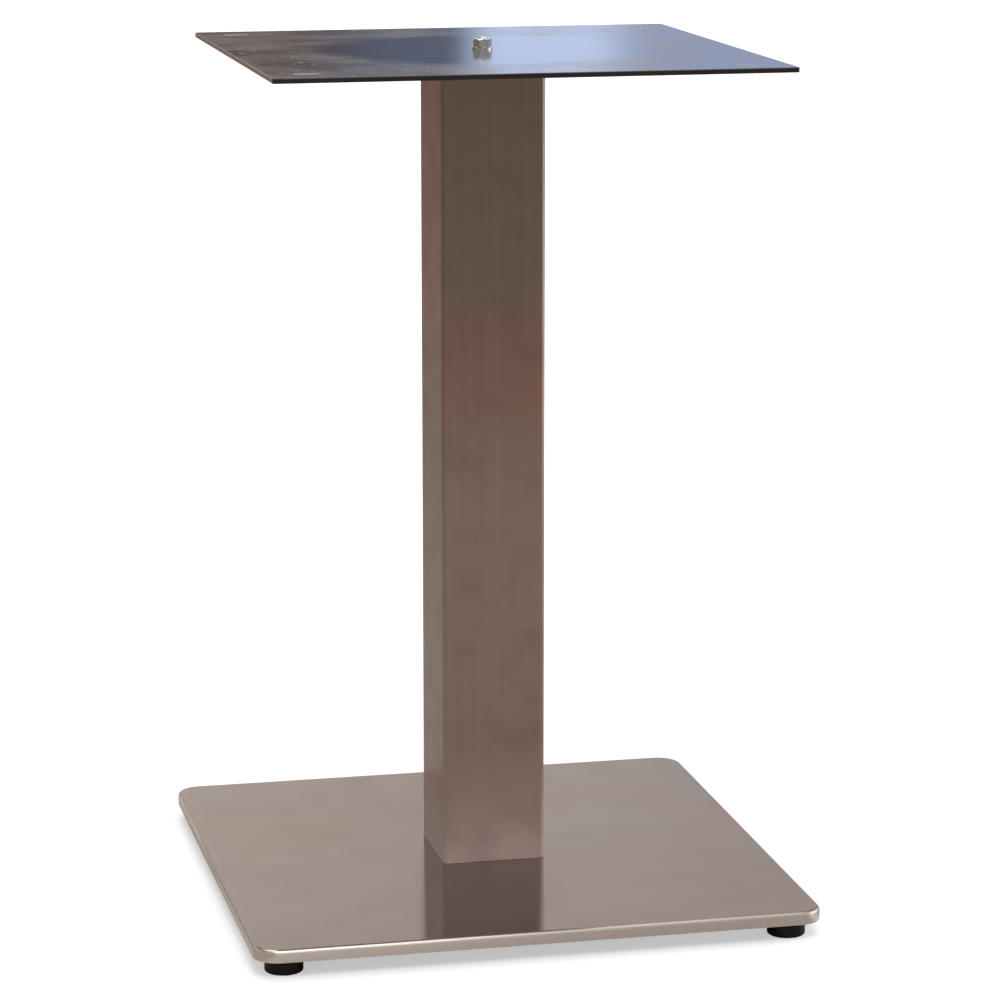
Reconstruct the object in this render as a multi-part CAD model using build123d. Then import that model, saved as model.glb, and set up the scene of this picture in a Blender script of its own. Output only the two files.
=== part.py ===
from build123d import *

import os
from math import radians, sqrt, tan

# Square pedestal table base. A pressed stainless cover over a steel ballast plate stands on
# four levelling feet. One tie rod clamps the base, a square column and the top plate together.
# Millimetres, +Z up, origin on the floor under the middle of the column, front towards -Y.

# Driving dimensions

# Height from the floor to the upper face of the top plate
plate_top_height = 680.0

# Base cover and the ballast plate inside it
base_side = 450.0
base_corner_radius = 20.0
cover_sheet = 1.0
rim_edge_radius = 3.0
ballast_thickness = 8.0
ballast_recess = 1.0
ballast_clearance = 0.5

# Column tube
column_side = 84.0
column_wall = 1.5
column_corner_radius = 4.0

# Folded spigots that centre the tube at both ends
spigot_sheet = 2.5
spigot_height = 18.0
spigot_bend_radius = 4.0
spigot_corner_relief = 9.0
spigot_clearance = 0.25

# Top plate with its four screw slots
top_plate_side = 400.0
top_plate_thickness = 4.0
top_plate_corner_radius = 2.0
top_plate_edge_break = 0.5
screw_slot_width = 8.5
screw_slot_length = 20.0
screw_slot_inset = 30.0

# M8 tie rod with its nuts and washers
rod_diameter = 8.0
rod_end_chamfer = 1.0
rod_projection = 1.5
rod_hole_clearance = 0.5
thread_clearance = 0.05
nut_across_flats = 13.0
nut_height = 6.5
nut_chamfer_angle = 30.0
washer_diameter = 16.0
washer_thickness = 1.6
washer_clearance = 0.2

# Levelling feet: a pad that swivels on the head of a screwed stud
foot_inset = 25.0
pad_diameter = 30.0
pad_height = 10.0
pad_sole_thickness = 3.0
pad_sole_chamfer = 1.5
pad_top_chamfer = 0.8
stud_diameter = 8.0
stud_head_diameter = 16.0
stud_head_thickness = 2.5
stud_collar_across_flats = 13.0
stud_collar_height = 4.7
stud_end_chamfer = 1.0
stud_end_gap = 0.5
swivel_gap = 0.3
swivel_running_clearance = 0.08

# Heights worked out from the floor up
foot_height = pad_height + swivel_gap + stud_collar_height
rim_height = ballast_recess + ballast_thickness + cover_sheet
rim_bottom = foot_height - ballast_recess
ballast_bottom = foot_height
ballast_top = ballast_bottom + ballast_thickness
base_top = ballast_top + cover_sheet
column_top = plate_top_height - top_plate_thickness
rod_hole_radius = rod_diameter / 2 + rod_hole_clearance

# Plan positions of the feet and of the screw slots
CORNERS = {
    "front_left": (-1, -1),
    "front_right": (1, -1),
    "rear_left": (-1, 1),
    "rear_right": (1, 1),
}
foot_offset = base_side / 2 - foot_inset
screw_slot_offset = top_plate_side / 2 - screw_slot_inset

ON_FLOOR = (Align.CENTER, Align.CENTER, Align.MIN)


def rounded_block(side, height, corner_radius):
    """Square block standing on z = 0 with rounded upright corners."""
    return extrude(RectangleRounded(side, side, corner_radius), height)


def upright_cylinder(radius, bottom, top):
    """Cylinder on the Z axis between two heights."""
    return Pos(0, 0, bottom) * Cylinder(radius, top - bottom, align=ON_FLOOR)


def turned(profile_points):
    """Solid of revolution about Z from (radius, height) points."""
    outline = Polyline(*profile_points, close=True)
    return revolve(Plane.XZ * make_face(outline), Axis.Z)


def top_edges(solid):
    """Edges round the highest face."""
    return solid.faces().sort_by(Axis.Z)[-1].edges()


def bottom_edges(solid):
    """Edges round the lowest face."""
    return solid.faces().sort_by(Axis.Z)[0].edges()


def hex_prism(across_flats, height):
    """Hexagon on z = 0 with its corners turned off to a shallow cone at both ends."""
    flat_radius = across_flats / 2
    corner_radius = across_flats / sqrt(3)
    rise = (corner_radius - flat_radius) * tan(radians(nut_chamfer_angle))
    blank = turned(
        [
            (0, 0),
            (flat_radius, 0),
            (corner_radius, rise),
            (corner_radius, height - rise),
            (flat_radius, height),
            (0, height),
        ]
    )
    prism = extrude(RegularPolygon(flat_radius, 6, major_radius=False), height)
    return prism & blank


def make_base_cover():
    """Pressed cover: flat top, rolled edge, rim all round and a hole for the tie rod."""
    outside = rounded_block(base_side, rim_height, base_corner_radius)
    outside = fillet(top_edges(outside), rim_edge_radius)
    inside_side = base_side - 2 * cover_sheet
    inside = rounded_block(inside_side, rim_height - cover_sheet, base_corner_radius - cover_sheet)
    inside = fillet(top_edges(inside), rim_edge_radius - cover_sheet)
    rod_hole = upright_cylinder(rod_hole_radius, 0, rim_height)
    return Pos(0, 0, rim_bottom) * (outside - inside - rod_hole)


def make_ballast_plate():
    """Steel plate that fills the cover, tapped through for the four feet."""
    gap = cover_sheet + ballast_clearance
    plate = rounded_block(base_side - 2 * gap, ballast_thickness, base_corner_radius - gap)
    plate = fillet(top_edges(plate), rim_edge_radius - cover_sheet)
    plate -= upright_cylinder(rod_hole_radius, 0, ballast_thickness)
    tapped_hole = upright_cylinder(stud_diameter / 2 + thread_clearance, 0, ballast_thickness)
    for x_side, y_side in CORNERS.values():
        plate -= Pos(x_side * foot_offset, y_side * foot_offset, 0) * tapped_hole
    return Pos(0, 0, ballast_bottom) * plate


def make_column_tube():
    """Square tube standing on the cover and carrying the top plate."""
    bore_side = column_side - 2 * column_wall
    section = RectangleRounded(column_side, column_side, column_corner_radius)
    section -= RectangleRounded(bore_side, bore_side, column_corner_radius - column_wall)
    return Pos(0, 0, base_top) * extrude(section, column_top - base_top)


def make_spigot():
    """Folded square cup, web on z = 0, four upturned flanges with open corners."""
    side = column_side - 2 * (column_wall + spigot_clearance)
    inside_side = side - 2 * spigot_sheet
    outside = Box(side, side, spigot_height, align=ON_FLOOR)
    outside = fillet(bottom_edges(outside), spigot_bend_radius)
    inside = Pos(0, 0, spigot_sheet) * Box(inside_side, inside_side, spigot_height, align=ON_FLOOR)
    inside = fillet(bottom_edges(inside), spigot_bend_radius - spigot_sheet)
    cup = outside - inside - upright_cylinder(rod_hole_radius, 0, spigot_sheet)
    relief = Box(2 * spigot_corner_relief, 2 * spigot_corner_relief, spigot_height, align=ON_FLOOR)
    for x_side, y_side in CORNERS.values():
        cup -= Pos(x_side * side / 2, y_side * side / 2, 0) * relief
    return cup


def make_lower_spigot():
    """Spigot on the base cover, flanges up inside the tube."""
    return Pos(0, 0, base_top) * make_spigot()


def make_upper_spigot():
    """Spigot under the top plate, flanges down inside the tube."""
    return Pos(0, 0, column_top) * Rot(X=180) * make_spigot()


def make_top_plate():
    """Flat plate with a hole for the tie rod and a screw slot near each corner."""
    plate = rounded_block(top_plate_side, top_plate_thickness, top_plate_corner_radius)
    plate = chamfer(top_edges(plate) + bottom_edges(plate), top_plate_edge_break)
    plate -= upright_cylinder(rod_hole_radius, 0, top_plate_thickness)
    slot = extrude(SlotOverall(screw_slot_length, screw_slot_width), top_plate_thickness)
    for x_side, y_side in CORNERS.values():
        plate -= Pos(x_side * screw_slot_offset, y_side * screw_slot_offset, 0) * slot
    return Pos(0, 0, column_top) * plate


def make_washer(bottom):
    """Plain washer on the tie rod."""
    hole = upright_cylinder(rod_diameter / 2 + washer_clearance, bottom, bottom + washer_thickness)
    return upright_cylinder(washer_diameter / 2, bottom, bottom + washer_thickness) - hole


def make_nut(bottom):
    """Hex nut on the tie rod."""
    bore = upright_cylinder(rod_diameter / 2 + thread_clearance, 0, nut_height)
    return Pos(0, 0, bottom) * (hex_prism(nut_across_flats, nut_height) - bore)


def make_tie_rod():
    """Rod from under the base to just above the top nut, with chamfered ends."""
    bottom = ballast_bottom - washer_thickness - nut_height - rod_projection
    top = plate_top_height + washer_thickness + nut_height + rod_projection
    rod = upright_cylinder(rod_diameter / 2, bottom, top)
    return chamfer(top_edges(rod) + bottom_edges(rod), rod_end_chamfer)


def make_foot_pad():
    """Round pad with a sole, a pocket for the stud's head and a neck that keeps it in."""
    pad = Cylinder(pad_diameter / 2, pad_height, align=ON_FLOOR)
    pad = chamfer(bottom_edges(pad), pad_sole_chamfer)
    pad = chamfer(top_edges(pad), pad_top_chamfer)
    pocket_top = pad_sole_thickness + stud_head_thickness + swivel_gap
    pocket = upright_cylinder(stud_head_diameter / 2 + swivel_gap, pad_sole_thickness, pocket_top)
    neck = upright_cylinder(stud_diameter / 2 + swivel_running_clearance, pad_sole_thickness, pad_height)
    return pad - pocket - neck


def make_foot_stud():
    """Stud with a round head in the pad, a hex collar under the ballast plate and a screwed end."""
    head_top = pad_sole_thickness + stud_head_thickness
    stud_top = ballast_top - stud_end_gap
    shank = upright_cylinder(stud_diameter / 2, pad_sole_thickness, stud_top)
    shank = chamfer(top_edges(shank), stud_end_chamfer)
    head = upright_cylinder(stud_head_diameter / 2, pad_sole_thickness, head_top)
    collar = hex_prism(stud_collar_across_flats, stud_collar_height)
    return shank + head + Pos(0, 0, foot_height - stud_collar_height) * collar


def build_pieces():
    """Every piece of the base in its place, by name."""
    nut_stack = washer_thickness + nut_height
    spigot_web_top = base_top + spigot_sheet
    pieces = {
        "base_cover": make_base_cover(),
        "ballast_plate": make_ballast_plate(),
        "column_tube": make_column_tube(),
        "lower_spigot": make_lower_spigot(),
        "upper_spigot": make_upper_spigot(),
        "top_plate": make_top_plate(),
        "tie_rod": make_tie_rod(),
        "top_washer": make_washer(plate_top_height),
        "top_nut": make_nut(plate_top_height + washer_thickness),
        "inner_washer": make_washer(spigot_web_top),
        "inner_nut": make_nut(spigot_web_top + washer_thickness),
        "bottom_washer": make_washer(ballast_bottom - washer_thickness),
        "bottom_nut": make_nut(ballast_bottom - nut_stack),
    }
    foot_pad = make_foot_pad()
    foot_stud = make_foot_stud()
    for corner, (x_side, y_side) in CORNERS.items():
        place = Pos(x_side * foot_offset, y_side * foot_offset, 0)
        pieces[f"foot_pad_{corner}"] = place * foot_pad
        pieces[f"foot_stud_{corner}"] = place * foot_stud
    return pieces


os.makedirs("parts", exist_ok=True)
for name, piece in build_pieces().items():
    piece.label = name
    export_step(piece, f"parts/{name}.step")
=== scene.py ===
"""Looks of a square pedestal table base: stainless foot and column, black top plate, levelling feet."""

import logging
import math
from collections.abc import Iterable
from dataclasses import dataclass, fields
from enum import Enum

import bmesh
import bpy
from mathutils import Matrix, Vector


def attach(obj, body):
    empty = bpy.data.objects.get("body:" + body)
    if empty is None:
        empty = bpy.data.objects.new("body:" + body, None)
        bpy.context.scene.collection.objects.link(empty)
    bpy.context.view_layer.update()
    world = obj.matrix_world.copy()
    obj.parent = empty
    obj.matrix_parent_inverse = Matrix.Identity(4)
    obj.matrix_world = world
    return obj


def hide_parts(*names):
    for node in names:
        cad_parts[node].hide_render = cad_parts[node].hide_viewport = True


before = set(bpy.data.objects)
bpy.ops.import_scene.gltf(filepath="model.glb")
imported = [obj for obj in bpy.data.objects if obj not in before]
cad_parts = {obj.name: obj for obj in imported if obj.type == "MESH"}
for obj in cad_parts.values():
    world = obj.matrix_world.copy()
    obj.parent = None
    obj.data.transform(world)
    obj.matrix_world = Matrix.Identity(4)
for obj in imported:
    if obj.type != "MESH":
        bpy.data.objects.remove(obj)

Mesh = bpy.types.Mesh
Tree = bpy.types.NodeTree
Node = bpy.types.Node
Socket = bpy.types.NodeSocket
Source = Node | Socket
Feeds = dict[str | int, object]
Point = tuple[float, float, float]
Span = tuple[float, float]

MATH = "ShaderNodeMath"
VECTOR_MATH = "ShaderNodeVectorMath"
SEPARATE = "ShaderNodeSeparateXYZ"
RANGE = "ShaderNodeMapRange"
MIX = "ShaderNodeMix"
BUMP = "ShaderNodeBump"
COLOURS = {"data_type": "RGBA"}

MM = 0.001
ROOT_BODY = "pedestal"
CORNERS = {
    "front_left": (-1, -1),
    "front_right": (1, -1),
    "rear_left": (-1, 1),
    "rear_right": (1, 1),
}
# Points closer than this are one point of a seam, and edges sharper than this stay hard.
SEAM = 0.002 * MM
HARD_EDGE = math.radians(32)

log = logging.getLogger("table_base")


class Grain(Enum):
    """The way the brush ran over a sheet, and the axis that its blur turns about."""

    ACROSS = "X"
    UPRIGHT = "Z"


class Outline(Enum):
    """The plan shape that a skin is swept round."""

    ROUND = "round"
    SQUARE = "rounded square"


def linear(code: str) -> tuple[float, float, float, float]:
    """Turns an sRGB hex colour into a linear one.

    Args:
        code: a # and six hex digits.

    Returns:
        Linear red, green and blue, with an alpha of one.
    """
    shares = [int(code[at : at + 2], 16) / 255 for at in (1, 3, 5)]
    return (*(s / 12.92 if s <= 0.04045 else ((s + 0.055) / 1.055) ** 2.4 for s in shares), 1.0)


def add(tree: Tree, kind: str, feeds: Feeds | None = None, **settings: object) -> Node:
    """Adds a node to a tree, sets it up and feeds those of its inputs that are in use.

    Args:
        tree: the shader or geometry tree.
        kind: the node's type name.
        feeds: for each input's name or number, a value, or the output or node to link to it.
        settings: the node's own properties.

    Returns:
        The new node.
    """
    node = tree.nodes.new(kind)
    for key, value in settings.items():
        setattr(node, key, value)
    named = {socket.name: socket for socket in reversed(node.inputs) if socket.enabled}
    for key, value in (feeds or {}).items():
        socket = node.inputs[key] if isinstance(key, int) else named[key]
        if isinstance(value, Node):
            value = next(output for output in value.outputs if output.enabled)
        if isinstance(value, Socket):
            tree.links.new(value, socket)
        else:
            socket.default_value = value
    return node


def inside(tree: Tree, limits: Iterable[tuple[Source, float, float]]) -> Node:
    """Works out how far a point of a surface lies inside some limits, all at once.

    Args:
        tree: the shader tree.
        limits: for each, a value, where that is outside and where it is fully inside.

    Returns:
        The node that gives from zero, outside one of them, to one, inside them all.
    """
    share = 1.0
    for value, out, full in limits:
        feeds = {"Value": value, "From Min": out, "From Max": full}
        part = add(tree, RANGE, feeds, interpolation_type="SMOOTHSTEP")
        share = add(tree, MATH, {0: share, 1: part}, operation="MULTIPLY")
    return share


def fade(tree: Tree, value: Source, first: str | Source, bands: Iterable[tuple]) -> Node:
    """Fades one colour softly into others as a value grows or falls.

    Args:
        tree: the shader tree.
        value: what the colour depends on.
        first: the colour to start from, as a hex code or from a node.
        bands: for each change, where it starts, where it ends and the colour that it leads to.

    Returns:
        The node that gives the colour.
    """
    colour = linear(first) if isinstance(first, str) else first
    for starts, ends, beyond in bands:
        past = inside(tree, [(value, starts, ends)])
        reached = linear(beyond) if isinstance(beyond, str) else beyond
        colour = add(tree, MIX, {"Factor": past, "A": colour, "B": reached}, **COLOURS)
    return colour


@dataclass(frozen=True)
class Marks:
    """A pattern of marks, drawn as noise: a mark's width, its length along the grain and its raggedness."""

    width_mm: float
    length_mm: float
    detail: float
    roughness: float = 0.5
    # Where in the noise the pattern is taken from, in sizes of a mark.
    taken_from: Point = (0.0, 0.0, 0.0)


@dataclass(frozen=True, kw_only=True)
class Finish:
    """A surface finish, made once as a material and then handed out again."""

    name: str
    grain: Grain = Grain.UPRIGHT

    def material(self) -> bpy.types.Material:
        """Builds the material at the first call, with the noise of each field that holds marks.

        Returns:
            The finish's material.
        """
        known = bpy.data.materials.get(self.name)
        if known:
            return known
        made = bpy.data.materials.new(self.name)
        made.use_nodes = True
        tree = made.node_tree
        tree.nodes.clear()
        place = add(tree, "ShaderNodeTexCoord").outputs["Object"]
        noise = {}
        for field in fields(self):
            marks = getattr(self, field.name)
            if isinstance(marks, Marks):
                sizes = (marks.length_mm if axis == self.grain.value else marks.width_mm for axis in "XYZ")
                scale = tuple(1 / MM / size for size in sizes)
                at = {"Vector": place, "Scale": scale, "Location": marks.taken_from}
                look = {"Scale": 1.0, "Detail": marks.detail, "Roughness": marks.roughness}
                sized = add(tree, "ShaderNodeMapping", at)
                noise[field.name] = add(tree, "ShaderNodeTexNoise", {"Vector": sized, **look})
        shader = add(tree, "ShaderNodeBsdfPrincipled", self.dress(tree, place, noise))
        add(tree, "ShaderNodeOutputMaterial", {"Surface": shader})
        return made

    def dress(self, tree: Tree, place: Socket, noise: dict[str, Node]) -> Feeds:
        """Works the marks into colour, roughness and relief.

        Args:
            tree: the material's tree.
            place: the point of the surface, in Object coordinates.
            noise: the noise of each of the finish's marks.

        Returns:
            What the shader's inputs are linked or set to.
        """
        raise NotImplementedError


@dataclass(frozen=True)
class PolishedRimAndPaintedSheen:
    """Where a brushed sheet is brighter: all that lies below a height, partly polished and partly painted
    sheen in place of the bright floor that the rim mirrors.
    """

    colour: str
    starts_mm: float
    fade_mm: float
    roughness: float


@dataclass(frozen=True)
class PaintedFootReflection:
    """A painted reflection: a pale, less metallic film up from a sheet's foot, fading with height, in place
    of the bright base mirrored there.
    """

    colour: str
    foot_mm: float
    fades_mm: float
    cover: float
    thinnest: float = 0.75


@dataclass(frozen=True)
class PaintedWarmReflection:
    """A painted reflection: where a sheet's clouds turn warm, between two heights on its front, fading beyond
    them.
    """

    from_mm: float
    to_mm: float
    fade_mm: float
    front_mm: float
    front_fade_mm: float

    def limits(self, depth: Socket, height: Socket) -> list[tuple[Socket, float, float]]:
        """Gives the patch's limits.

        Args:
            depth: how far back a point lies.
            height: how high it lies.

        Returns:
            For each limit, the value, where that is outside and where it is fully inside.
        """
        edges = (
            (height, self.from_mm, -self.fade_mm),
            (height, self.to_mm, self.fade_mm),
            (depth, self.front_mm, self.front_fade_mm),
        )
        return [(way, (edge + fades) * MM, edge * MM) for way, edge, fades in edges]


@dataclass(frozen=True, kw_only=True)
class BrushedStainless(Finish):
    """Stainless sheet finished with an abrasive belt: hairlines one way, a satin smear the other."""

    colour: str
    warm: str
    roughness: float
    anisotropy: float
    line_contrast: float
    streak_contrast: float
    wipe_contrast: float
    # Partly painted sheen: a paler rim in place of the bright floor it mirrors, as well as polish.
    rim: PolishedRimAndPaintedSheen | None = None
    # Painted reflection: a pale film at the foot, in place of the bright base mirrored there.
    haze: PaintedFootReflection | None = None
    # Painted reflection: a warm band on the front, in place of something warm mirrored there.
    warm_reflection: PaintedWarmReflection | None = None
    # The belt's lines are about 0.3 mm apart; they are drawn wider, so that they show in the render.
    hairline: Marks = Marks(0.9, 120.0, 2.0, 0.6)
    streak: Marks = Marks(9.0, 420.0, 2.0)
    cloud: Marks = Marks(150.0, 150.0, 2.0, 0.45)
    wipe: Marks = Marks(38.0, 38.0, 3.0)
    wave: Marks = Marks(55.0, 55.0, 0.0)
    wave_depth_mm: float = 0.008
    uneven: float = 0.015
    # The noise at which each mark is at its least and at its most.
    line_range: Span = (0.25, 0.75)
    streak_range: Span = (0.30, 0.70)
    wipe_range: Span = (0.75, 0.50)
    cloud_range: Span = (0.36, 0.62)
    dull_range: Span = (0.35, 0.65)
    line_strength: float = 0.1
    line_depth_mm: float = 0.02

    def dress(self, tree: Tree, place: Socket, noise: dict[str, Node]) -> Feeds:
        """Lays hairlines, wider streaks, faint warm clouds and wiping marks over the metal, and any painted
        reflection and painted sheen that the finish is given.

        Args:
            tree: the material's tree.
            place: the point of the surface, in Object coordinates.
            noise: the noise of each of the finish's marks.

        Returns:
            What the shader's inputs are linked or set to.
        """
        _, depth, height = add(tree, SEPARATE, {0: place}).outputs
        varied = []
        for label, (low, high), middle, swing in (
            ("hairline", self.line_range, 1.0, self.line_contrast),
            ("streak", self.streak_range, 1.0, self.streak_contrast),
            ("wipe", self.wipe_range, 1.0, self.wipe_contrast),
            ("wipe", self.dull_range, self.roughness, self.uneven),
        ):
            spread = {"From Min": low, "From Max": high, "To Min": middle - swing, "To Max": middle + swing}
            varied.append(add(tree, RANGE, {"Value": noise[label], **spread}))
        *tones, rough = varied
        limits = [(noise["cloud"], *self.cloud_range)]
        # Where a warm band is given, it is a painted reflection: the warm clouds then show only inside it.
        if self.warm_reflection:
            limits += self.warm_reflection.limits(depth, height)
        shades = {"A": linear(self.colour), "B": linear(self.warm)}
        metal = add(tree, MIX, {"Factor": inside(tree, limits), **shades}, **COLOURS)
        for tone in tones:
            metal = add(tree, VECTOR_MATH, {0: metal, "Scale": tone}, operation="SCALE")
        metallic = 1.0
        # Painted reflection: a pale, less metallic film up from the foot, in place of the bright base
        # mirrored there.
        if self.haze:
            foot, ends = self.haze.foot_mm * MM, (self.haze.foot_mm + self.haze.fades_mm) * MM
            low, high = self.dull_range
            spread = {"From Min": low, "From Max": high, "To Min": self.haze.thinnest, "To Max": 1.0}
            patchy = add(tree, RANGE, {"Value": noise["wipe"], **spread})
            film = add(tree, MATH, {0: inside(tree, [(height, ends, foot)]), 1: patchy}, operation="MULTIPLY")
            metal = add(tree, MIX, {"Factor": film, "A": metal, "B": linear(self.haze.colour)}, **COLOURS)
            metallic = add(tree, RANGE, {"Value": film, "To Min": 1.0, "To Max": 1 - self.haze.cover})
        # Partly painted sheen: the rim's paler metal stands in for the bright floor it mirrors, as well as
        # polish.
        if self.rim:
            starts, ends = self.rim.starts_mm * MM, (self.rim.starts_mm - self.rim.fade_mm) * MM
            polish_and_sheen = add(tree, RANGE, {"Value": height, "From Min": starts, "From Max": ends})
            metal = add(tree, MIX, {"Factor": polish_and_sheen, "A": metal, "B": linear(self.rim.colour)}, **COLOURS)
            rough = add(tree, MIX, {"Factor": polish_and_sheen, "A": rough, "B": self.rim.roughness})
        waves = {"Height": noise["wave"], "Strength": 1.0, "Distance": self.wave_depth_mm * MM}
        lines = {"Strength": self.line_strength, "Distance": self.line_depth_mm * MM}
        waved = add(tree, BUMP, waves)
        return {
            "Base Color": metal,
            "Metallic": metallic,
            "Roughness": rough,
            "Normal": add(tree, BUMP, {"Height": noise["hairline"], "Normal": waved, **lines}),
            "Tangent": add(tree, "ShaderNodeTangent", direction_type="RADIAL", axis=self.grain.value),
            "Anisotropic": self.anisotropy,
        }


@dataclass(frozen=True, kw_only=True)
class StovedPaint(Finish):
    """Gloss enamel stoved on steel plate: a mirror at low angles, dulled and dusty outside its middle."""

    colour: str
    dust: str
    # Pale specks: partly dust, partly painted glints.
    dust_and_glints: str
    worn: str
    gloss_roughness: float
    dull_roughness: float
    spot_roughness: float
    # The plate under it, in metres: its top face, and the slots that the paint is rubbed off round.
    top: float
    slot_offset: float
    slot_half_straight: float
    slot_radius: float
    middle_mm: float = 128.0
    ragged_mm: float = 20.0
    rubbed_mm: float = 1.2
    fully_rubbed: float = 0.4
    bared_mm: float = 0.05
    haze: Marks = Marks(60.0, 60.0, 3.0, 0.55)
    # Only the peaks of this noise show, as pale specks of a millimetre or two, partly dust and partly painted
    # glints.
    specks: Marks = Marks(9.0, 9.0, 3.0, 0.7)
    broken: Marks = Marks(2.4, 2.4, 2.0)
    peel: Marks = Marks(2.4, 2.4, 1.0)
    haze_range: Span = (0.35, 0.65)
    grit_range: Span = (0.63, 0.74)
    thinnest: float = 0.35
    peel_strength: float = 0.06
    peel_depth_mm: float = 0.03
    skin_mm: float = 0.2
    ior: float = 1.5

    def rubbed(self, tree: Tree, flat: Node, broken: Node) -> Node:
        """Works out how far the paint is rubbed off round the screw slots.

        Args:
            tree: the material's tree.
            flat: the point of the surface, with no height.
            broken: the noise of the wear's edge.

        Returns:
            From zero, painted, to one, bare.
        """
        nothing = (0.0, 0.0, 0.0)
        gap = flat
        for operation, operand in (
            ("ABSOLUTE", nothing),
            ("SUBTRACT", (self.slot_offset, self.slot_offset, 0.0)),
            ("ABSOLUTE", nothing),
            ("SUBTRACT", (self.slot_half_straight, 0.0, 0.0)),
            ("MAXIMUM", nothing),
            ("LENGTH", nothing),
        ):
            gap = add(tree, VECTOR_MATH, {0: gap, 1: operand}, operation=operation)
        starts = self.slot_radius + self.rubbed_mm * MM
        full = self.slot_radius + self.fully_rubbed * self.rubbed_mm * MM
        worn = add(tree, RANGE, {"Value": gap, "From Min": starts, "From Max": full})
        flaked = add(tree, MATH, {0: worn, 1: broken}, operation="MULTIPLY")
        bared = add(tree, MATH, {0: gap, 1: self.slot_radius + self.bared_mm * MM}, operation="LESS_THAN")
        return add(tree, MATH, {0: flaked, 1: bared}, operation="MAXIMUM")

    def dress(self, tree: Tree, place: Socket, noise: dict[str, Node]) -> Feeds:
        """Lays a dust film round the glossy middle, pale specks in it that are partly dust and partly painted
        glints, and wear round the screw slots.

        Args:
            tree: the material's tree.
            place: the point of the surface, in Object coordinates.
            noise: the noise of each of the finish's marks.

        Returns:
            What the shader's inputs are linked or set to.
        """
        flat = add(tree, VECTOR_MATH, {0: place, 1: (1.0, 1.0, 0.0)}, operation="MULTIPLY")
        reach = add(tree, VECTOR_MATH, {0: flat}, operation="LENGTH")
        middle, wander = self.middle_mm * MM, 2 * self.ragged_mm * MM
        ragged = add(tree, MATH, {0: noise["haze"], 1: wander, 2: reach}, operation="MULTIPLY_ADD")
        filmed = inside(tree, [(ragged, middle, middle + wander)])
        lies = {}
        for label, (low, high), least in (
            ("haze", self.haze_range, self.thinnest),
            ("specks", self.grit_range, 0.0),
        ):
            spread = {"From Min": low, "From Max": high, "To Min": least, "To Max": 1.0}
            amount = add(tree, RANGE, {"Value": noise[label], **spread})
            lies[label] = add(tree, MATH, {0: amount, 1: filmed}, operation="MULTIPLY")
        height = add(tree, SEPARATE, {0: place}).outputs[2]
        upper = add(tree, MATH, {0: height, 1: self.top - self.skin_mm * MM}, operation="GREATER_THAN")
        # Painted glints as well as dust: pale, rougher specks on the top face only.
        dust_and_glints = add(tree, MATH, {0: lies["specks"], 1: upper}, operation="MULTIPLY")
        colour = linear(self.colour)
        for amount, shade in (
            (lies["haze"], self.dust),
            (dust_and_glints, self.dust_and_glints),
            (self.rubbed(tree, flat, noise["broken"]), self.worn),
        ):
            colour = add(tree, MIX, {"Factor": amount, "A": colour, "B": linear(shade)}, **COLOURS)
        gloss = {"To Min": self.gloss_roughness, "To Max": self.dull_roughness}
        dulled = add(tree, RANGE, {"Value": lies["haze"], **gloss})
        relief = {"Strength": self.peel_strength, "Distance": self.peel_depth_mm * MM}
        return {
            "Base Color": colour,
            "Roughness": add(tree, MIX, {"Factor": dust_and_glints, "A": dulled, "B": self.spot_roughness}),
            "Normal": add(tree, BUMP, {"Height": noise["peel"], **relief}),
            "IOR": self.ior,
        }


@dataclass(frozen=True, kw_only=True)
class CloudedFinish(Finish):
    """A finish in two close shades: soft clouds of the second, duller there, over a fine grain."""

    colour: str
    clouded: str
    cloud: Marks
    relief: Marks
    glossy: float
    dull: float
    relief_strength: float
    relief_depth_mm: float
    # What is the same all over the surface, by the shader's own names.
    constants: tuple[tuple[str, float], ...]
    cloud_range: Span = (0.0, 1.0)

    def dress(self, tree: Tree, place: Socket, noise: dict[str, Node]) -> Feeds:
        """Lays the clouds over the plain shade and the fine grain under both.

        Args:
            tree: the material's tree.
            place: the point of the surface, in Object coordinates; not used here.
            noise: the noise of each of the finish's marks.

        Returns:
            What the shader's inputs are linked or set to.
        """
        low, high = self.cloud_range
        cloud = add(tree, RANGE, {"Value": noise["cloud"], "From Min": low, "From Max": high})
        shades = {"A": linear(self.colour), "B": linear(self.clouded)}
        grain = {"Strength": self.relief_strength, "Distance": self.relief_depth_mm * MM}
        return {
            "Base Color": add(tree, MIX, {"Factor": cloud, **shades}, **COLOURS),
            "Roughness": add(tree, RANGE, {"Value": cloud, "To Min": self.glossy, "To Max": self.dull}),
            "Normal": add(tree, BUMP, {"Height": noise["relief"], **grain}),
            **dict(self.constants),
        }


# Stainless sheet belt-brushed from left to right: a satin sheet that smears its mirror image upright. Its rim
# and rolled edge are paler: polished to a bright line, and partly painted sheen in place of the bright floor
# that they mirror.
BASE_STEEL = BrushedStainless(
    name="brushed_stainless_base",
    colour="#8F857F",
    warm="#90827B",
    grain=Grain.ACROSS,
    roughness=0.17,
    anisotropy=1.0,
    line_contrast=0.025,
    streak_contrast=0.012,
    wipe_contrast=0.015,
    rim=PolishedRimAndPaintedSheen("#C0B8B2", starts_mm=23.6, fade_mm=0.8, roughness=0.33),
    wave_depth_mm=0.003,
    uneven=0.006,
)
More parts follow.
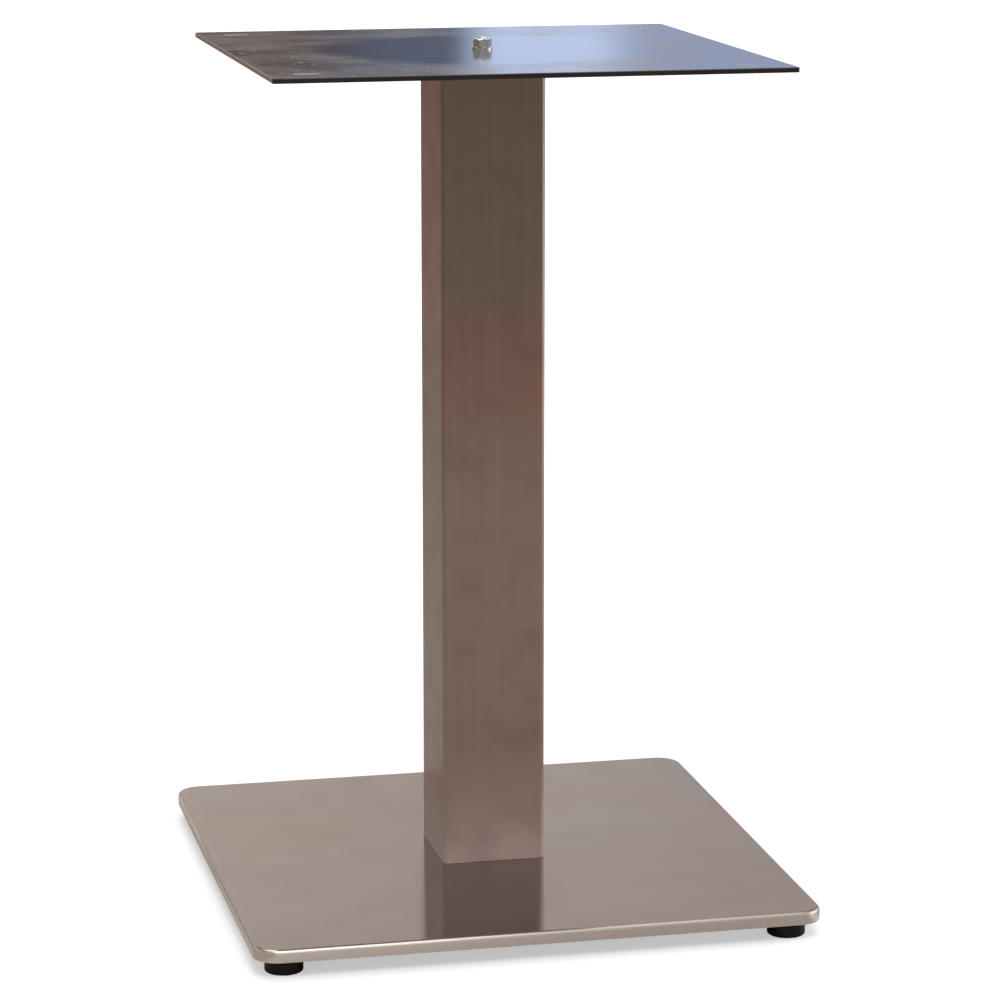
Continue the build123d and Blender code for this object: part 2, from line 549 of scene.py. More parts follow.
# Stainless tube belt-brushed along its length: upright hairlines and a duller sheen than the base. The pale
# film at its foot is a painted reflection of the bright base, and the faintly warm band on its front is a
# painted reflection of something warm.
COLUMN_STEEL = BrushedStainless(
    name="brushed_stainless_column",
    colour="#897A74",
    warm="#90756E",
    grain=Grain.UPRIGHT,
    roughness=0.32,
    anisotropy=0.75,
    line_contrast=0.045,
    streak_contrast=0.03,
    wipe_contrast=0.06,
    haze=PaintedFootReflection("#B8A39E", foot_mm=24.0, fades_mm=105.0, cover=0.75),
    warm_reflection=PaintedWarmReflection(from_mm=405.0, to_mm=450.0, fade_mm=45.0, front_mm=-41.0, front_fade_mm=3.0),
    cloud=Marks(150.0, 150.0, 2.0, 0.45, (7.7, 1.9, 3.8)),
)
# Black primer sprayed thin on rough plate: matt and slightly blotchy. Its dry grain is a few tenths of a
# millimetre and is drawn coarser, so that it shows.
BALLAST_PRIMER = CloudedFinish(
    name="sprayed_black_primer",
    colour="#161617",
    clouded="#262524",
    cloud=Marks(35.0, 35.0, 3.0),
    relief=Marks(1.5, 1.5, 2.0),
    glossy=0.5,
    dull=0.72,
    relief_strength=0.25,
    relief_depth_mm=0.1,
    constants=(("IOR", 1.5),),
)
# Zinc electroplated on steel: cold silver with faint yellowish clouds, softly glossy. The plated grain is
# finer than a tenth of a millimetre and is drawn coarser, so that it shows.
ZINC = CloudedFinish(
    name="bright_zinc_plate",
    colour="#D6D8DA",
    clouded="#CBC6BA",
    cloud=Marks(5.0, 5.0, 3.0),
    relief=Marks(0.5, 0.5, 1.0),
    glossy=0.2,
    dull=0.42,
    relief_strength=0.1,
    relief_depth_mm=0.02,
    constants=(("Metallic", 1.0),),
)
# Black nylon moulded in a spark-eroded tool: near black and dull, with paler scuffs. The tool's texture is
# a few tenths of a millimetre and is drawn coarser, so that it shows.
NYLON = CloudedFinish(
    name="moulded_black_nylon",
    colour="#140A0B",
    clouded="#1D1415",
    cloud=Marks(6.0, 6.0, 4.0),
    relief=Marks(0.8, 0.8, 1.0),
    glossy=0.42,
    dull=0.6,
    relief_strength=0.2,
    relief_depth_mm=0.05,
    constants=(("IOR", 1.53), ("Specular IOR Level", 0.2)),
    cloud_range=(0.52, 0.75),
)


def place_object(name: str, data: bpy.types.ID) -> bpy.types.Object:
    """Puts a mesh, lamp or camera into the scene.

    Args:
        name: the object's name.
        data: what it shows.

    Returns:
        The object, at the origin.
    """
    made = bpy.data.objects.new(name, data)
    bpy.context.scene.collection.objects.link(made)
    return made


def start_tree(name: str, lengths: Iterable[str], points: Iterable[str]) -> tuple[Tree, Node]:
    """Starts a geometry tree with its named inputs.

    Args:
        name: the tree's name.
        lengths: the names of its single numbers.
        points: the names of its points, apart from the Centre.

    Returns:
        The tree and its Group Input.
    """
    tree = bpy.data.node_groups.new(name, "GeometryNodeTree")
    inputs = [(label, "NodeSocketFloat") for label in lengths]
    inputs += [(label, "NodeSocketVector") for label in ("Centre", *points)]
    for label, kind in (*inputs, ("Material", "NodeSocketMaterial")):
        tree.interface.new_socket(label, in_out="INPUT", socket_type=kind)
    tree.interface.new_socket("Mesh", in_out="OUTPUT", socket_type="NodeSocketGeometry")
    return tree, add(tree, "NodeGroupInput")


def finish_tree(tree: Tree, made: Node, source: Node) -> None:
    """Ends a tree: closes seams, keeps hard edges hard, moves the shape to its centre and dresses it.

    Args:
        tree: the geometry tree.
        made: the node that gives the geometry made so far.
        source: the tree's Group Input, with a Centre and a Material.
    """
    angle = add(tree, "GeometryNodeInputMeshEdgeAngle")
    hard = add(tree, MATH, {0: angle, 1: HARD_EDGE}, operation="GREATER_THAN")
    for kind, feeds, settings in (
        ("GeometryNodeMergeByDistance", {"Distance": SEAM}, {}),
        ("GeometryNodeTransform", {"Translation": source.outputs["Centre"]}, {}),
        ("GeometryNodeSetShadeSmooth", {}, {"domain": "FACE"}),
        ("GeometryNodeSetShadeSmooth", {"Selection": hard, "Shade Smooth": False}, {"domain": "EDGE"}),
        ("GeometryNodeRealizeInstances", {}, {}),
        ("GeometryNodeSetMaterial", {"Material": source.outputs["Material"]}, {}),
    ):
        made = add(tree, kind, {"Geometry": made, **feeds}, **settings)
    add(tree, "NodeGroupOutput", {0: made})


def bake(name: str, tree: Tree, values: dict[str, object], wall: float = 0.0) -> Mesh:
    """Runs a geometry tree once and keeps the plain mesh.

    Args:
        name: the mesh's name.
        tree: the geometry tree.
        values: what each of its named inputs is set to.
        wall: thickness added inwards, in metres, or zero for none.

    Returns:
        The mesh, with its shading settled by face area.
    """
    maker = place_object(f"{name}_maker", bpy.data.meshes.new(f"{name}_maker"))
    shape = maker.modifiers.new("shape", "NODES")
    shape.node_group = tree
    for socket in tree.interface.items_tree:
        if socket.in_out == "INPUT":
            shape[socket.identifier] = values[socket.name]
    if wall:
        thickness = maker.modifiers.new("wall", "SOLIDIFY")
        thickness.thickness = wall
        thickness.offset = -1.0
        thickness.use_even_offset = True
    shading = maker.modifiers.new("shading", "WEIGHTED_NORMAL")
    shading.keep_sharp = True
    graph = bpy.context.evaluated_depsgraph_get()
    mesh = bpy.data.meshes.new_from_object(maker.evaluated_get(graph), depsgraph=graph)
    mesh.name = name
    bpy.data.objects.remove(maker)
    return mesh


@dataclass
class SweptSkin:
    """A surface swept round an upright outline, from a section of named points.

    A section point is how far it lies in from the outline, how high, and how far its corner is rounded, if
    it is. The points run from the foot of the outside up and inwards, all in metres.
    """

    name: str
    outline: Outline
    across: float
    section: dict[str, Span | Point]
    steps: int = 48
    corner_radius: float = 0.0
    rounding_steps: int = 6
    closed_section: bool = False
    capped: bool = False
    wall: float = 0.0
    centre: Point = (0.0, 0.0, 0.0)
    # How far below the last point an edge may lie and still be the rim of the flat top.
    rim_reach: float = 0.05 * MM

    def tree(self) -> Tree:
        """Builds the geometry tree.

        Returns:
            The tree, with the sizes as named inputs.
        """
        tree, source = start_tree(self.name, ("Across", "Corner Radius"), self.section)
        ways = {"Curve": self.path(tree, source), "Profile Curve": self.profile(tree, source)}
        swept = add(tree, "GeometryNodeCurveToMesh", ways)
        skin = add(tree, "GeometryNodeFlipFaces", {"Mesh": swept})
        finish_tree(tree, self.cap(tree, skin, source) if self.capped else skin, source)
        return tree

    def path(self, tree: Tree, source: Node) -> Node:
        """Draws the outline.

        Args:
            tree: the geometry tree.
            source: its Group Input.

        Returns:
            The node that gives the outline as a curve.
        """
        across, rounding = source.outputs["Across"], source.outputs["Corner Radius"]
        if self.outline is Outline.ROUND:
            radius = add(tree, MATH, {0: across, 1: 0.5}, operation="MULTIPLY")
            size = {"Resolution": self.steps, "Radius": radius}
            drawn = add(tree, "GeometryNodeCurvePrimitiveCircle", size)
        else:
            size = {"Width": across, "Height": across}
            square = add(tree, "GeometryNodeCurvePrimitiveQuadrilateral", size)
            corners = {"Curve": square, "Count": self.steps, "Radius": rounding}
            drawn = add(tree, "GeometryNodeFilletCurve", corners, mode="POLY")
        return add(tree, "GeometryNodeSetCurveNormal", {"Curve": drawn}, mode="Z_UP")

    def profile(self, tree: Tree, source: Node) -> Node:
        """Draws the section through its named points, with its corners rounded.

        Args:
            tree: the geometry tree.
            source: its Group Input.

        Returns:
            The node that gives the section as a curve.
        """
        line = add(tree, "GeometryNodeMeshLine", {"Count": len(self.section)})
        index = add(tree, "GeometryNodeInputIndex")
        point = add(tree, "GeometryNodeIndexSwitch", {"Index": index}, data_type="VECTOR")
        while len(point.index_switch_items) < len(self.section):
            point.index_switch_items.new()
        for at, label in enumerate(self.section):
            tree.links.new(source.outputs[label], point.inputs[at + 1])
        # A sweep turns the section's +X outwards and its +Y down, so both are reversed.
        spot = add(tree, VECTOR_MATH, {0: point, 1: (-1.0, -1.0, 0.0)}, operation="MULTIPLY")
        placed = add(tree, "GeometryNodeSetPosition", {"Geometry": line, "Position": spot})
        curve = add(tree, "GeometryNodeMeshToCurve", {"Mesh": placed})
        closing = {"Geometry": curve, "Cyclic": self.closed_section}
        ring = add(tree, "GeometryNodeSetSplineCyclic", closing)
        rounding = add(tree, SEPARATE, {0: point}).outputs[2]
        corners = {"Curve": ring, "Count": self.rounding_steps, "Radius": rounding, "Limit Radius": True}
        return add(tree, "GeometryNodeFilletCurve", corners, mode="POLY")

    def cap(self, tree: Tree, skin: Node, source: Node) -> Node:
        """Fills the section's last ring with one flat face.

        Args:
            tree: the geometry tree.
            skin: the node that gives the swept mesh.
            source: the tree's Group Input.

        Returns:
            The node that gives the mesh with its flat top.
        """
        last = add(tree, SEPARATE, {0: source.outputs[list(self.section)[-1]]}).outputs[1]
        height = add(tree, SEPARATE, {0: add(tree, "GeometryNodeInputPosition")}).outputs[2]
        below = add(tree, MATH, {0: last, 1: self.rim_reach}, operation="SUBTRACT")
        high = add(tree, MATH, {0: height, 1: below}, operation="GREATER_THAN")
        # An open edge has one face, and the others have two.
        faces = add(tree, "GeometryNodeInputMeshEdgeNeighbors")
        loose = add(tree, MATH, {0: faces, 1: 1.5}, operation="LESS_THAN")
        rim = add(tree, MATH, {0: high, 1: loose}, operation="MULTIPLY")
        edge = add(tree, "GeometryNodeMeshToCurve", {"Mesh": skin, "Selection": rim})
        filled = add(tree, "GeometryNodeFillCurve", {"Curve": edge}, mode="NGONS")
        lift = add(tree, "ShaderNodeCombineXYZ", {2: last})
        lid = add(tree, "GeometryNodeTransform", {"Geometry": filled, "Translation": lift})
        joined = add(tree, "GeometryNodeJoinGeometry", {0: lid})
        tree.links.new(skin.outputs[0], joined.inputs[0])
        return joined

    def mesh(self, finish: Finish) -> Mesh:
        """Makes the mesh.

        Args:
            finish: what its surface is dressed with.

        Returns:
            The plain mesh, in place.
        """
        values = {
            "Across": self.across,
            "Corner Radius": self.corner_radius,
            "Centre": self.centre,
            "Material": finish.material(),
            **{label: (*point, 0.0)[:3] for label, point in self.section.items()},
        }
        return bake(self.name, self.tree(), values, self.wall)


@dataclass
class ScrewThread:
    """The raised ridge of a right-hand metric thread, wound up a round core."""

    name: str
    core_radius: float
    crest_radius: float
    foot: float
    top: float
    pitch: float = 1.25 * MM
    centre: Point = (0.0, 0.0, 0.0)
    steps: int = 20
    flank_share: float = 0.86
    crest_share: float = 0.16
    sunk: float = 0.15 * MM

    def tree(self) -> Tree:
        """Builds the geometry tree.

        Returns:
            The tree, with the sizes as named inputs.
        """
        lengths = ("Mid Radius", "Ridge", "Flank Width", "Crest Width", "Turns", "Height")
        tree, source = start_tree(self.name, lengths, ())
        radius, ridge, flank, crest, turns, height = (source.outputs[label] for label in lengths)
        climb = {"Resolution": self.steps, "Rotations": turns, "Height": height, "Reverse": True}
        round_core = {"Start Radius": radius, "End Radius": radius}
        helix = add(tree, "GeometryNodeCurveSpiral", {**climb, **round_core})
        upright = add(tree, "GeometryNodeSetCurveNormal", {"Curve": helix}, mode="Z_UP")
        form = {"Height": ridge, "Bottom Width": flank, "Top Width": crest, "Offset": 0.0}
        tooth = add(tree, "GeometryNodeCurvePrimitiveQuadrilateral", form, mode="TRAPEZOID")
        outwards = {"Geometry": tooth, "Rotation": (0.0, 0.0, -math.pi / 2)}
        turned = add(tree, "GeometryNodeTransform", outwards)
        ways = {"Curve": upright, "Profile Curve": turned, "Fill Caps": True}
        finish_tree(tree, add(tree, "GeometryNodeCurveToMesh", ways), source)
        return tree

    def mesh(self, finish: Finish) -> Mesh:
        """Makes the mesh.

        Args:
            finish: what its surface is dressed with.

        Returns:
            The plain mesh, in place, its faces turned outwards.
        """
        margin = self.flank_share * self.pitch / 2
        height = self.top - self.foot - 2 * margin
        x, y, z = self.centre
        values = {
            "Mid Radius": (self.core_radius - self.sunk + self.crest_radius) / 2,
            "Ridge": self.crest_radius - self.core_radius + self.sunk,
            "Flank Width": self.flank_share * self.pitch,
            "Crest Width": self.crest_share * self.pitch,
            "Turns": height / self.pitch,
            "Height": height,
            "Centre": (x, y, z + self.foot + margin),
            "Material": finish.material(),
        }
        mesh = bake(self.name, self.tree(), values)
        shape = bmesh.new()
        shape.from_mesh(mesh)
        bmesh.ops.recalc_face_normals(shape, faces=shape.faces)
        shape.to_mesh(mesh)
        shape.free()
        return mesh


def piece(name: str, meshes: list[Mesh], node: str, body: str) -> None:
    """Puts meshes together as one piece that stands for a CAD node.

    Args:
        name: the piece's name.
        meshes: its parts, each in place and all of one material.
        node: the CAD node it stands for.
        body: the body it rides on.
    """
    whole = meshes[0]
    if len(meshes) > 1:
        shape = bmesh.new()
        for mesh in meshes:
            shape.from_mesh(mesh)
        shape.to_mesh(whole)
        shape.free()
    whole.name = name
    made = place_object(name, whole)
    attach(made, body)
    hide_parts(node)
    log.info("%s: %d faces, on %s", name, len(whole.polygons), body)


def dress(node: str, finish: Finish) -> None:
    """Gives a CAD node its finish.

    Args:
        node: the node's name.
        finish: what its surface is dressed with.
    """
    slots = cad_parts[node].data.materials
    slots.clear()
    slots.append(finish.material())
    log.info("%s: dressed as %s", node, finish.name)


@dataclass
class WeightedFoot:
    """The pressed stainless cover and the steel ballast plate inside it."""

    side: float = 450 * MM
    corner_radius: float = 20 * MM
    sheet: float = 1 * MM
    edge_radius: float = 3 * MM
    rim_bottom: float = 14 * MM
    top: float = 24 * MM
    flat_starts: float = 7 * MM

    def build(self) -> None:
        """Presses the cover from one skin, rim and rolled edge first, and dresses the ballast."""
        cover = SweptSkin(
            "base_cover_skin",
            Outline.SQUARE,
            self.side,
            {
                "Rim Foot": (0.0, self.rim_bottom),
                "Rolled Edge": (0.0, self.top, self.edge_radius),
                "Top Flat": (self.flat_starts, self.top),
            },
            steps=16,
            corner_radius=self.corner_radius,
            rounding_steps=10,
            capped=True,
            wall=self.sheet,
        )
        piece("pressed_cover", [cover.mesh(BASE_STEEL)], "base_cover", ROOT_BODY)
        dress("ballast_plate", BALLAST_PRIMER)


@dataclass
class Column:
    """The square tube, with the folded spigots inside its ends."""

    side: float = 84 * MM
    wall: float = 1.5 * MM
    corner_radius: float = 4 * MM
    bottom: float = 24 * MM
    top: float = 676 * MM
    deburr: float = 0.3 * MM

    def build(self) -> None:
        """Draws the tube and dresses the spigots."""
        tube = SweptSkin(
            "column_skin",
            Outline.SQUARE,
            self.side,
            {
                "Outer Foot": (0.0, self.bottom, self.deburr),
                "Outer Head": (0.0, self.top, self.deburr),
                "Inner Head": (self.wall, self.top, self.deburr),
                "Inner Foot": (self.wall, self.bottom, self.deburr),
            },
            steps=10,
            corner_radius=self.corner_radius,
            rounding_steps=3,
            closed_section=True,
        )
        piece("square_column", [tube.mesh(COLUMN_STEEL)], "column_tube", ROOT_BODY)
        dress("lower_spigot", ZINC)
        dress("upper_spigot", ZINC)


@dataclass
class TopPlate:
    """The flat plate that carries the table top, with a screw slot near each corner."""

    top: float = 680 * MM
    slot_offset: float = 170 * MM
    slot_half_straight: float = 5.75 * MM
    slot_radius: float = 4.25 * MM

    def paint(self) -> StovedPaint:
        """Mixes the paint, which is rubbed off round the plate's slots.

        Returns:
            The finish.
        """
        # Black enamel stoved on steel: a dark mirror at low angles, with a dusty film outside its middle.
        return StovedPaint(
            name="stoved_black_enamel",
            colour="#0D0F14",
            dust="#1F1A1A",
            dust_and_glints="#45484D",
            # The pale specks are partly dust and partly painted glints.
            worn="#A9B0B8",
            gloss_roughness=0.09,
            dull_roughness=0.18,
            spot_roughness=0.42,
            top=self.top,
            slot_offset=self.slot_offset,
            slot_half_straight=self.slot_half_straight,
            slot_radius=self.slot_radius,
        )

    def build(self) -> None:
        """Dresses the plate."""
        dress("top_plate", self.paint())


@dataclass
class TieRod:
    """The rod that clamps the base together, threaded at both ends, with its nuts and washers."""

    diameter: float = 8 * MM
    core_radius: float = 3.3 * MM
    bottom: float = 5.4 * MM
    top: float = 689.6 * MM
    end_chamfer: float = 0.9 * MM
    threaded: float = 28 * MM
    thread_margin: float = 0.4 * MM
    fasteners: tuple[str, ...] = (
        "top_washer",
        "top_nut",
        "inner_washer",
        "inner_nut",
        "bottom_washer",
        "bottom_nut",
    )

    def build(self) -> None:
        """Turns the rod, winds its threads and dresses the nuts and washers."""
        radius = self.diameter / 2
        root = radius - self.core_radius
        end = root + 0.5 * self.end_chamfer
        low, high = self.bottom + self.threaded, self.top - self.threaded
        rod = SweptSkin(
            "tie_rod_skin",
            Outline.ROUND,
            self.diameter,
            {
                "Foot Centre": (radius, self.bottom),
                "Foot Edge": (end, self.bottom),
                "Foot Chamfer": (root, self.bottom + self.end_chamfer),
                "Lower Core": (root, low),
                "Shank Foot": (0.0, low + root),
                "Shank Head": (0.0, high - root),
                "Upper Core": (root, high),
                "Head Chamfer": (root, self.top - self.end_chamfer),
                "Head Edge": (end, self.top),
                "Head Centre": (radius, self.top),
            },
            steps=32,
        )
        meshes = [rod.mesh(ZINC)]
        for name, foot, top in (
            ("lower_thread", self.bottom + self.thread_margin, low),
            ("upper_thread", high, self.top - self.thread_margin),
        ):
            meshes.append(ScrewThread(name, self.core_radius, radius, foot, top).mesh(ZINC))
        piece("threaded_tie_rod", meshes, "tie_rod", ROOT_BODY)
        for node in self.fasteners:
            dress(node, ZINC)


@dataclass
class LevellingFoot:
    """One foot: a nylon pad that swivels on the head of a screwed stud."""

    corner: str
    offset: float = 200 * MM
    pad_diameter: float = 30 * MM
    pad_height: float = 10 * MM
    sole: float = 3 * MM
    sole_rounding: float = 1.6 * MM
    rim_rounding: float = 0.9 * MM
    neck_rounding: float = 0.3 * MM
    neck_radius: float = 4.08 * MM
    pocket_radius: float = 8.3 * MM
    pocket_top: float = 5.8 * MM
    head_diameter: float = 16 * MM
    head_top: float = 5.5 * MM
    head_rounding: float = 0.3 * MM
    shank_radius: float = 4 * MM
    core_radius: float = 3.3 * MM
    core_sunk: float = 0.5 * MM
    collar_across: float = 15.011 * MM
    collar_foot: float = 10.3 * MM
    collar_top: float = 15 * MM
    collar_chamfer: float = 0.45 * MM
    stud_top: float = 22.5 * MM
    end_chamfer: float = 0.9 * MM
    thread_sunk: float = 0.2 * MM
    thread_margin: float = 0.3 * MM

    def centre(self) -> Point:
        """Gives the foot's place on the floor."""
        x_side, y_side = CORNERS[self.corner]
        return (x_side * self.offset, y_side * self.offset, 0.0)

    def build(self) -> None:
        """Moulds the pad and turns the stud, with its hex collar and thread."""
        corner = self.corner
        pad = [self.pad().mesh(NYLON)]
        stud = [part.mesh(ZINC) for part in (self.shank(), self.collar(), self.thread())]
        piece(f"nylon_pad_{corner}", pad, f"foot_pad_{corner}", f"pad_{corner}")
        piece(f"screwed_stud_{corner}", stud, f"foot_stud_{corner}", f"stud_{corner}")

    def pad(self) -> SweptSkin:
        """Draws the pad: sole, side, rim, neck and the pocket for the stud's head.

        Returns:
            The pad's skin.
        """
        radius = self.pad_diameter / 2
        neck, pocket = radius - self.neck_radius, radius - self.pocket_radius
        return SweptSkin(
            f"pad_skin_{self.corner}",
            Outline.ROUND,
            self.pad_diameter,
            {
                "Sole Centre": (radius, 0.0),
                "Sole Rim": (0.0, 0.0, self.sole_rounding),
                "Top Rim": (0.0, self.pad_height, self.rim_rounding),
                "Neck Top": (neck, self.pad_height, self.neck_rounding),
                "Neck Foot": (neck, self.pocket_top),
                "Pocket Roof": (pocket, self.pocket_top),
                "Pocket Floor": (pocket, self.sole),
                "Pocket Centre": (radius, self.sole),
            },
            steps=64,
            centre=self.centre(),
        )

    def shank(self) -> SweptSkin:
        """Draws the stud's round head, plain neck and screwed core.

        Returns:
            The stud's skin, without its collar and thread.
        """
        radius = self.head_diameter / 2
        neck, core = radius - self.shank_radius, radius - self.core_radius
        neck_top = self.collar_top - self.core_sunk
        return SweptSkin(
            f"stud_skin_{self.corner}",
            Outline.ROUND,
            self.head_diameter,
            {
                "Head Centre": (radius, self.sole),
                "Head Foot": (0.0, self.sole, self.head_rounding),
                "Head Top": (0.0, self.head_top, self.head_rounding),
                "Neck Foot": (neck, self.head_top),
                "Neck Top": (neck, neck_top),
                "Core Foot": (core, neck_top),
                "Core Top": (core, self.stud_top - self.end_chamfer),
                "End Edge": (core + 0.5 * self.end_chamfer, self.stud_top),
                "End Centre": (radius, self.stud_top),
            },
            steps=32,
            centre=self.centre(),
        )

    def collar(self) -> SweptSkin:
        """Draws the hex collar that a spanner turns, its corners bevelled.

        Returns:
            The collar's skin.
        """
        radius, chamfer = self.collar_across / 2, self.collar_chamfer
        return SweptSkin(
            f"collar_skin_{self.corner}",
            Outline.ROUND,
            self.collar_across,
            {
                "Under Centre": (radius, self.collar_foot),
                "Under Edge": (2 * chamfer, self.collar_foot),
                "Lower Corner": (0.0, self.collar_foot + chamfer),
                "Upper Corner": (0.0, self.collar_top - chamfer),
                "Upper Edge": (2 * chamfer, self.collar_top),
                "Upper Centre": (radius, self.collar_top),
            },
            steps=6,
            centre=self.centre(),
        )

    def thread(self) -> ScrewThread:
        """Winds the stud's thread.

        Returns:
            The thread, from just inside the collar to just short of the stud's end.
        """
        return ScrewThread(
            f"stud_thread_{self.corner}",
            self.core_radius,
            self.shank_radius,
            self.collar_top - self.thread_sunk,
            self.stud_top - self.thread_margin,
            centre=self.centre(),
        )


@dataclass
class Studio:
    """A pale floor, soft light from above and in front, and the photograph's camera."""

    aim: Point = (0.0136, -0.003, 0.316)
    azimuth: float = 12.4
    elevation: float = 12.1
    distance: float = 3.0
    lens_mm: float = 133.4
    sensor_mm: float = 36.0
    clip: Span = (0.05, 60.0)
    floor_half: float = 14.0
    near_floor: str = "#D8CFC6"
    # Where the floor changes colour away from the base, forwards or back, in metres, and to what.
    floor_bands: tuple[tuple[float, float, str], ...] = (
        (-0.35, -0.6, "#CCC3BA"),
        (-1.25, -1.5, "#EAE1D8"),
        (-2.12, -2.3, "#5E524B"),
        (-2.55, -2.9, "#DDD5CC"),
        (2.0, 2.6, "#FFDFCF"),
    )
    seen_floor: str = "#D2D5D8"
    # How strongly the floor shows white to the eye, near the base and away from it, and where, in metres.
    glow: Span = (0.5, 1.0)
    glow_reach: Span = (0.3, 2.0)
    white: str = "#FFFFFF"
    back_wall: str = "#EAE3DD"
    right_wall: str = "#D2CAC4"
    front_wall: str = "#BDC0C3"
    low_front: str = "#8A827C"
    dim_wall: str = "#8A8784"
    ceiling: str = "#FFFDF9"
    low_far_left: str = "#4A3D3C"
    # Where the low band changes, as a share of the view to the right of the camera's axis, and to what.
    low_band: tuple[tuple[float, float, str], ...] = (
        (-0.055, -0.020, "#565F73"),
        (-0.010, 0.005, "#C8D8FA"),
        (0.028, 0.046, "#97A6C8"),
    )
    # Where one wall goes over into the next: left to right, front to back and from the floor up.
    right_from: Span = (-0.12, 0.12)
    back_from: Span = (-0.4, 0.4)
    wall_from: Span = (0.130, 0.155)
    dim_from: Span = (0.45, 0.60)
    ceiling_from: Span = (0.72, 0.84)
    # How strong the walls are as light, and as what a glossy face mirrors.
    wall_light: float = 0.52
    wall_mirrored: float = 1.4
    softboxes: tuple[tuple[str, Point, Span, float], ...] = (
        ("overhead", (0.1, 0.3, 2.5), (1.8, 1.8), 12.0),
        ("front", (-0.3, -2.0, 2.5), (1.8, 1.2), 40.0),
        ("rear", (-0.5, 1.2, 2.9), (1.6, 1.0), 17.0),
        ("right", (1.3, -0.2, 0.6), (1.0, 1.2), 7.0),
    )
    lamp_aim: Point = (0.0, 0.0, 0.3)

    def build(self) -> None:
        """Sets the stage up."""
        bpy.context.scene.view_settings.view_transform = "Standard"
        self.camera()
        self.floor()
        self.world()
        for name, place, size, power in self.softboxes:
            self.softbox(name, place, size, power)

    def camera(self) -> None:
        """Puts the camera where the photograph was taken from."""
        turn, rise = math.radians(self.azimuth), math.radians(self.elevation)
        back = Vector((-math.sin(turn) * math.cos(rise), -math.cos(turn) * math.cos(rise), math.sin(rise)))
        data = bpy.data.cameras.new("camera")
        data.sensor_width = self.sensor_mm
        data.lens = self.lens_mm
        data.clip_start, data.clip_end = self.clip
        seen = place_object("camera", data)
        seen.location = Vector((0.0, 0.0, self.aim[2])) + back * self.distance
        seen.rotation_euler = (Vector(self.aim) - seen.location).to_track_quat("-Z", "Y").to_euler()
        bpy.context.scene.camera = seen

    def floor(self) -> None:
        """Lays the floor: pale to the light, white to the eye, with the base's shadow on it."""
        made = bpy.data.materials.new("pale_floor")
        made.use_nodes = True
        tree = made.node_tree
        tree.nodes.clear()
        place = add(tree, "ShaderNodeTexCoord").outputs["Object"]
        away = add(tree, VECTOR_MATH, {0: place}, operation="LENGTH")
        (near, far), (faint, full) = self.glow_reach, self.glow
        spread = {"From Min": near, "From Max": far, "To Min": faint, "To Max": full}
        glow = add(tree, RANGE, {"Value": away, **spread})
        ahead = add(tree, SEPARATE, {0: place}).outputs[1]
        cloth = fade(tree, ahead, self.near_floor, self.floor_bands)
        matt = add(tree, "ShaderNodeBsdfDiffuse", {"Color": cloth})
        white = add(tree, "ShaderNodeEmission", {"Color": linear(self.white), "Strength": glow})
        plain = add(tree, "ShaderNodeBsdfDiffuse", {"Color": linear(self.seen_floor)})
        lit = add(tree, "ShaderNodeAddShader", {0: plain, 1: white})
        eye = add(tree, "ShaderNodeLightPath").outputs["Is Camera Ray"]
        seen = add(tree, "ShaderNodeMixShader", {0: eye, 1: matt, 2: lit})
        add(tree, "ShaderNodeOutputMaterial", {"Surface": seen})
        half = self.floor_half
        mesh = bpy.data.meshes.new("floor")
        corners = [(-half, -half, 0), (half, -half, 0), (half, half, 0), (-half, half, 0)]
        mesh.from_pydata(corners, [], [(0, 1, 2, 3)])
        mesh.materials.append(made)
        place_object("floor", mesh)

    def world(self) -> None:
        """Hangs pale walls round the stage, over a low band: pale blue to the right, grey to the left."""
        made = bpy.data.worlds.new("studio")
        made.use_nodes = True
        tree = made.node_tree
        tree.nodes.clear()
        turn = math.radians(self.azimuth)
        way = add(tree, "ShaderNodeTexCoord").outputs["Generated"]
        _, back, up = add(tree, SEPARATE, {0: way}).outputs
        rightwards = (math.cos(turn), -math.sin(turn), 0.0)
        right = add(tree, VECTOR_MATH, {0: way, 1: rightwards}, operation="DOT_PRODUCT")
        low = fade(tree, right, self.low_far_left, self.low_band)
        behind = fade(tree, right, self.back_wall, [(*self.right_from, self.right_wall)])
        foot = fade(tree, back, self.low_front, [(*self.back_from, low)])
        walls = fade(tree, back, self.front_wall, [(*self.back_from, behind)])
        upwards = (
            (*self.wall_from, walls),
            (*self.dim_from, self.dim_wall),
            (*self.ceiling_from, self.ceiling),
        )
        room = fade(tree, up, foot, upwards)
        eye = add(tree, "ShaderNodeLightPath").outputs
        glossy = {0: eye["Is Glossy Ray"], 1: eye["Is Transmission Ray"]}
        shiny = add(tree, MATH, glossy, operation="MAXIMUM")
        light, mirrored, white = (
            add(tree, "ShaderNodeBackground", {"Color": colour, "Strength": strength})
            for colour, strength in (
                (linear(self.back_wall), self.wall_light),
                (room, self.wall_mirrored),
                (linear(self.white), 1.0),
            )
        )
        inner = add(tree, "ShaderNodeMixShader", {0: shiny, 1: light, 2: mirrored})
        outer = add(tree, "ShaderNodeMixShader", {0: eye["Is Camera Ray"], 1: inner, 2: white})
        add(tree, "ShaderNodeOutputWorld", {"Surface": outer})
        bpy.context.scene.world = made

    def softbox(self, name: str, place: Point, size: Span, power: float) -> None:
        """Hangs a softbox that faces the middle of the base.

        Args:
            name: the lamp's name.
            place: where it hangs, in metres.
            size: its width and height, in metres.
            power: in watts.
        """
        data = bpy.data.lights.new(name, "AREA")
        data.shape = "RECTANGLE"
        data.size, data.size_y = size
        data.energy = power
        lamp = place_object(name, data)
        lamp.location = place
        lamp.rotation_euler = (Vector(self.lamp_aim) - Vector(place)).to_track_quat("-Z", "Y").to_euler()
        lamp.visible_camera = False


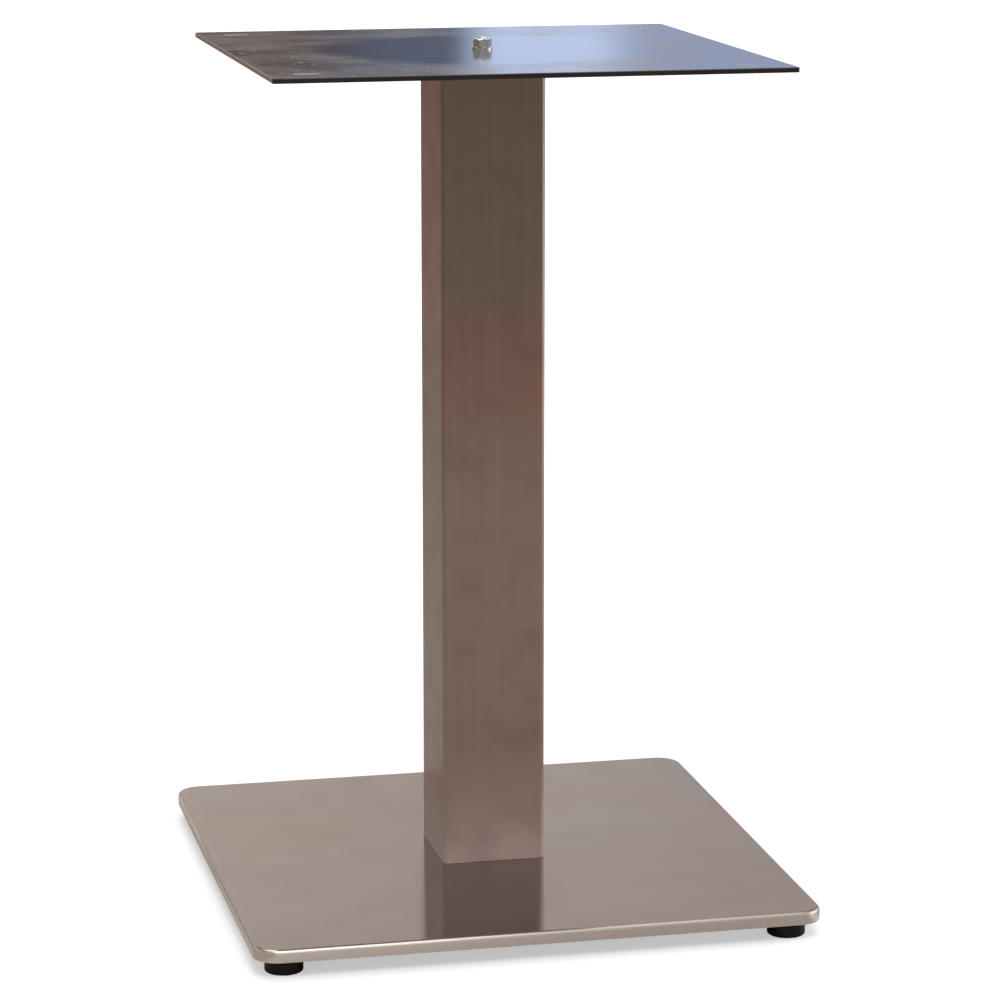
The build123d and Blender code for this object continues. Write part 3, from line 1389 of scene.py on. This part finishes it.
def main() -> None:
    """Builds the table base round its frame and sets the stage."""
    logging.basicConfig(level=logging.INFO, format="%(name)s %(message)s")
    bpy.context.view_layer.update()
    Studio().build()
    WeightedFoot().build()
    Column().build()
    TopPlate().build()
    TieRod().build()
    for corner in CORNERS:
        LevellingFoot(corner).build()


if __name__ == "__main__":
    main()
